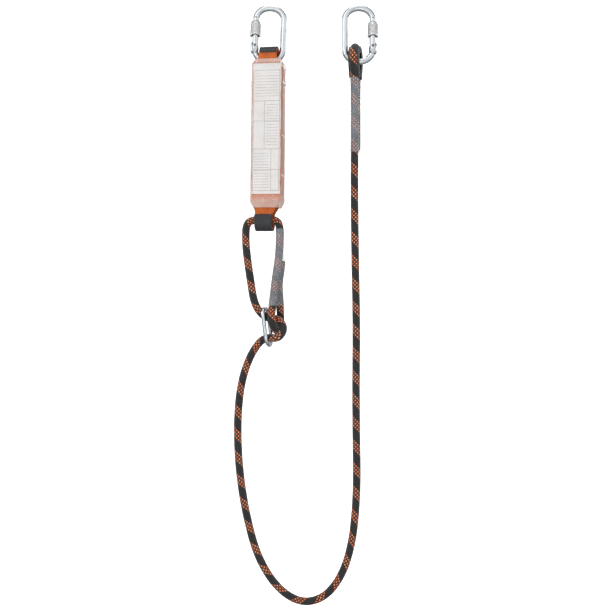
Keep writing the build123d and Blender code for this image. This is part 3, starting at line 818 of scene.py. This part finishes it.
# ---------------------------------------------------------------- clear pinkish cover
def cover_material():
    k = Mat("shrunk_clear_cover").set(Roughness=0.14)
    k.p.inputs["Coat Weight"].default_value = 0.25
    k.p.inputs["Coat Roughness"].default_value = 0.06
    co = k.coords()
    big = k.noise(26.0, 4.0, 0.6, co)
    fine = k.noise(320.0, 4.0, 0.65, co)
    streak = k.noise(8.0, 5.0, 0.7, co)
    sz = k.node("ShaderNodeSeparateXYZ")
    k.link(co, sz.inputs[0])
    z = sz.outputs[2]
    top = k.rng(z, 0.0, 0.42, -0.0842, -0.0800)
    low = k.rng(z, 0.0, 0.34, -0.2835, -0.2960)
    ties = None
    for at in (-0.1125, -0.1945, -0.2560):
        tie = k.math("LESS_THAN", k.math("ABSOLUTE", k.math("SUBTRACT", z, at)), 0.0016)
        ties = tie if ties is None else k.math("MAXIMUM", ties, tie)
    k.to("Base Color", k.mix(k.rng(big, 0.0, 1.0, 0.3, 0.7), lin(226, 186, 168), lin(240, 214, 202)))
    nn = k.node("ShaderNodeSeparateXYZ")
    k.link(k.node("ShaderNodeNewGeometry").outputs["True Normal"], nn.inputs[0])
    sides = k.rng(k.math("ABSOLUTE", nn.outputs[1]), 0.34, 0.0, 0.35, 0.95)
    flat = k.math("ADD", k.rng(big, 0.02, 0.07, 0.3, 0.7), k.rng(fine, -0.02, 0.03))
    k.to("Alpha", k.math("ADD", k.math("ADD", k.math("ADD", flat, k.math("MULTIPLY", sides, k.math("MULTIPLY_ADD", ties, 1.4, 1.0))), top), low, clamp=True))
    k.to("Roughness", k.rng(streak, 0.28, 0.44, 0.3, 0.7))
    k.to("Normal", k.bump(k.math("ADD", k.math("MULTIPLY", fine, 0.18), big), 0.2, 0.0009))
    return k.m


def rounded_ring(w, t, r, n=120):
    """Points round a rounded rectangle, and which way they face."""
    straight = [(w - 2 * r), (t - 2 * r)]
    per = 2 * sum(straight) + 2 * math.pi * r
    pts, nrm = [], []
    for s in np.arange(n) / n * per:
        for k, (cx, cy, L, a0) in enumerate((
            (w / 2 - r, -(t / 2 - r), t - 2 * r, -math.pi / 2), (w / 2 - r, t / 2 - r, w - 2 * r, 0.0),
            (-(w / 2 - r), t / 2 - r, t - 2 * r, math.pi / 2), (-(w / 2 - r), -(t / 2 - r), w - 2 * r, math.pi),
        )):
            arc = math.pi / 2 * r
            if s < arc:
                a = a0 + s / r
                pts.append((cx + r * math.cos(a), cy + r * math.sin(a)))
                nrm.append((math.cos(a), math.sin(a)))
                break
            s -= arc
            if s < L:
                a = a0 + math.pi / 2
                nx, ny = math.cos(a), math.sin(a)
                pts.append((cx + r * nx - ny * s, cy + r * ny + nx * s))
                nrm.append((nx, ny))
                break
            s -= L
        else:
            pts.append(pts[-1])
            nrm.append(nrm[-1])
    return np.array(pts), np.array(nrm)


def cover():
    zs = np.r_[np.linspace(-76.5, -86.0, 16), np.arange(-87.2, -294.0, -1.4), np.arange(-294.5, -305.6, -0.7)]
    w = np.interp(-zs, [76.5, 79.0, 82.0, 85, 90, 294, 297, 305.6], [39.6, 44.0, 49.4, 50.6, 50.8, 50.8, 50.0, 41.0])
    t = np.interp(-zs, [76.5, 84.0, 294, 297, 305.6], [30.4, 30.6, 30.6, 30.0, 25.8])
    n = 140
    rows_o, rows_i = [], []
    for z, ww, tt in zip(zs, w, t):
        p, q = rounded_ring(ww, tt, 6.6, n)
        ang = np.arange(n) / n * 2 * math.pi
        pucker = 0.55 * math.exp(-((z + 77) / 6.0) ** 2) + 0.4 * math.exp(-((z + 305) / 4.5) ** 2)
        wob = 0.14 * np.sin(z * 0.21 + 3 * ang) * np.sin(z * 0.07 + 5 * ang) + pucker * np.sin(ang * 17 + 0.6 * math.sin(z)) * 0.5
        edge = 0.25 * math.sin(z * 0.5) * 0.0
        o = p + q * (wob + edge)[:, None]
        rows_o.append(np.c_[o, np.full(n, z)])
        rows_i.append(np.c_[o - q * 0.35, np.full(n, z)])
    v = np.vstack([np.array(rows_o).reshape(-1, 3), np.array(rows_i).reshape(-1, 3)])
    rows = len(zs)
    f0, _ = grid_faces(rows, n, True, flip=True)
    f1, _ = grid_faces(rows, n, True)
    k = np.arange(n)
    top = np.stack([k, (k + 1) % n, rows * n + (k + 1) % n, rows * n + k], -1)
    lo = (rows - 1) * n
    bot = np.stack([lo + (k + 1) % n, lo + k, rows * n + lo + k, rows * n + lo + (k + 1) % n], -1)
    ob = mesh_object("shrunk_pack_cover", place(v), np.vstack([f0, f1 + rows * n, top, bot]), None, [cover_material()])
    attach(ob, "lanyard_line")
    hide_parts("shrink_cover")


cover()


# ---------------------------------------------------------------- knurled screw sleeves
def screw_sleeve(side):
    body = side + "_sleeve"
    prof = [  # radius, z of the outside, then of the bore
        (6.15, -17.2), (6.7, -17.25), (7.1, -18.4), (7.5, -19.6), (7.8, -20.3), (7.95, -20.8), (7.95, -27.9), (7.35, -28.3), (7.35, -29.1), (8.1, -29.5),
        (8.1, -35.6), (8.3, -36.2), (8.32, -38.2), (8.3, -39.9), (7.95, -40.4), (7.1, -40.4), (7.1, -34.6), (5.47, -34.5), (5.47, -27.3), (6.15, -27.2), (6.15, -17.2),
    ]
    pr = []
    for (r0, z0), (r1, z1) in zip(prof[:-1], prof[1:]):
        L = math.hypot(r1 - r0, z1 - z0)
        m = max(1, int(L / 0.16)) if abs(r1 - r0) < 0.3 and r0 > 7.2 else max(1, int(L / 0.5))
        for k in range(m):
            pr.append((r0 + (r1 - r0) * k / m, z0 + (z1 - z0) * k / m))
    n = 360
    th = np.arange(n) / n * 2 * np.pi
    gx = -21.75
    rows = []
    for r, z in pr:
        rad = np.full(n, r)
        zz = np.full(n, z)
        knurl = 0.0
        for z0, z1 in ((-20.9, -27.8), (-29.6, -35.5)):
            if z1 < z < z0 and r > 7.6:
                fade = min(1.0, (z0 - z) / 0.5, (z - z1) / 0.5)
                a = 46 * th / (2 * np.pi) + z / 1.15
                b = 46 * th / (2 * np.pi) - z / 1.15
                pa, pb = 1 - 2 * np.abs((a % 1) - 0.5), 1 - 2 * np.abs((b % 1) - 0.5)
                knurl = -0.34 * fade * (1 - np.minimum(1, np.minimum(pa, pb) * 2.4))
        rad = rad + knurl
        if z <= -35.9:  # scalloped skirt, open at the front and the back
            cut = np.maximum(0, np.abs(np.sin(th)) - 0.35) / 0.65
            lift = 2.9 * cut ** 1.5
            f = min(1.0, (-35.9 - z) / 4.5)
            zz = zz + lift * f
        x = rad * np.cos(th)
        y = rad * np.sin(th)
        rows.append(np.stack([gx + x, y, zz], 1))
    v = np.array(rows)
    # close the profile on itself
    v = v.reshape(-1, 3)
    rws = len(pr)
    r = np.arange(rws)[:, None]
    c = np.arange(n)[None, :]
    a, b = r * n + c, r * n + (c + 1) % n
    d, e = ((r + 1) % rws) * n + c, ((r + 1) % rws) * n + (c + 1) % n
    f = np.stack([a, d, e, b], -1).reshape(-1, 4)
    if side == "left":
        q = math.radians(2.5)
        X, Z = v[:, 0] * math.cos(q) + v[:, 2] * math.sin(q), -v[:, 0] * math.sin(q) + v[:, 2] * math.cos(q)
        v = np.stack([X, v[:, 1], Z], 1)
    else:
        v = np.stack([136.8 - v[:, 0], v[:, 1], v[:, 2]], 1)
        f = f[:, ::-1]
    ob = mesh_object(side + "_knurled_sleeve", v * MM, f, None, [m_sleeve])
    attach(ob, body)
    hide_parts(side + "_screw_sleeve")
    return ob


for side in ("left", "right"):
    screw_sleeve(side)


# ---------------------------------------------------------------- backdrop and light
def backdrop():
    """A pale round studio with a plain floor, far enough out to see the object from every side."""
    ring = [2 * math.pi * k / 48 for k in range(48)]
    prof = [(0.02, -1.3), (1.2, -1.3), (3.0, -1.3), (3.5, -1.2), (3.8, -0.9), (3.9, -0.4), (3.9, 3.6), (2.0, 4.6), (0.02, 4.8)]
    V = [(0.05 + r * math.cos(a), r * math.sin(a), z) for r, z in prof for a in ring]
    f, _ = grid_faces(len(prof), 48, True, flip=True)
    k = Mat("pale_backdrop").set(Roughness=0.95)
    n = k.noise(0.8, 2.0, 0.5)
    k.to("Base Color", k.mix(n, (0.7, 0.7, 0.7), (0.74, 0.74, 0.74)))
    k.to("Emission Color", k.mix(n, (0.97, 0.97, 0.97), (1.0, 1.0, 1.0)))
    k.set(Emission_Strength=0.96)
    me = bpy.data.meshes.new("backdrop")
    me.from_pydata(V, [], [tuple(int(i) for i in q) for q in f])
    me.materials.append(k.m)
    ob = bpy.data.objects.new("backdrop", me)
    scene.collection.objects.link(ob)
    ob.visible_glossy = False
    ob.visible_diffuse = False
    ob.visible_shadow = False


backdrop()


def area(name, loc, aim, size, power, size_y=None, colour=(1, 1, 1), glossy=True):
    d = bpy.data.lights.new(name, "AREA")
    d.shape = "RECTANGLE"
    d.size = size
    d.size_y = size_y or size
    d.energy = power
    d.color = colour
    o = bpy.data.objects.new(name, d)
    o.location = loc
    v = mathutils.Vector(np.array(aim, float) - np.array(loc, float))
    o.rotation_euler = v.to_track_quat("-Z", "Y").to_euler()
    o.visible_camera = False
    o.visible_glossy = glossy
    scene.collection.objects.link(o)
    return o


area("key", (-1.4, -2.0, 1.0), (0.05, 0, -0.4), 2.4, 27, 2.8)
area("fill", (1.7, -1.8, 0.3), (0.05, 0, -0.45), 1.9, 10, 2.4)
area("strip", (-0.75, -1.9, -0.2), (0.05, 0, -0.4), 0.07, 1.6, 1.5)
area("top", (0.05, -0.3, 1.9), (0.05, 0, -0.4), 1.2, 14)
area("low", (0.0, -2.0, -1.1), (0.05, 0, -0.6), 1.0, 5)
area("back", (0.3, 2.2, 0.8), (0.05, 0, -0.45), 1.2, 26)
area("side", (2.4, 0.4, 0.3), (0.05, 0, -0.45), 1.2, 14)
area("other_side", (-2.4, 0.4, 0.3), (0.05, 0, -0.45), 1.2, 14)

world = bpy.data.worlds.new("studio")
scene.world = world
world.use_nodes = True
wt = world.node_tree
wt.nodes.clear()
bg = wt.nodes.new("ShaderNodeBackground")
wo = wt.nodes.new("ShaderNodeOutputWorld")
wt.links.new(bg.outputs[0], wo.inputs[0])
tc = wt.nodes.new("ShaderNodeTexCoord")
sx = wt.nodes.new("ShaderNodeSeparateXYZ")
wt.links.new(tc.outputs["Generated"], sx.inputs[0])
nz = wt.nodes.new("ShaderNodeTexNoise")
nz.inputs["Scale"].default_value = 2.6
nz.inputs["Detail"].default_value = 1.5
wt.links.new(tc.outputs["Generated"], nz.inputs["Vector"])
mr = wt.nodes.new("ShaderNodeMath")
mr.operation = "MULTIPLY_ADD"
mr.inputs[1].default_value = 0.42
mr.inputs[2].default_value = 0.29
wt.links.new(sx.outputs[1], mr.inputs[0])
ad = wt.nodes.new("ShaderNodeMath")
ad.operation = "MULTIPLY_ADD"
ad.inputs[1].default_value = 0.42
wt.links.new(nz.outputs["Fac"], ad.inputs[0])
wt.links.new(mr.outputs[0], ad.inputs[2])
cr = wt.nodes.new("ShaderNodeValToRGB")
stops = [(0.0, 0.96), (0.22, 0.90), (0.36, 0.60), (0.46, 0.24), (0.56, 0.26), (0.68, 0.50), (1.0, 0.70)]
el = cr.color_ramp.elements
while len(el) < len(stops):
    el.new(0.5)
for e, (pos, v) in zip(el, stops):
    e.position = pos
    e.color = (v * 0.97, v * 0.985, v, 1)
wt.links.new(ad.outputs[0], cr.inputs[0])
wt.links.new(cr.outputs[0], bg.inputs[0])
bg.inputs[1].default_value = 0.84
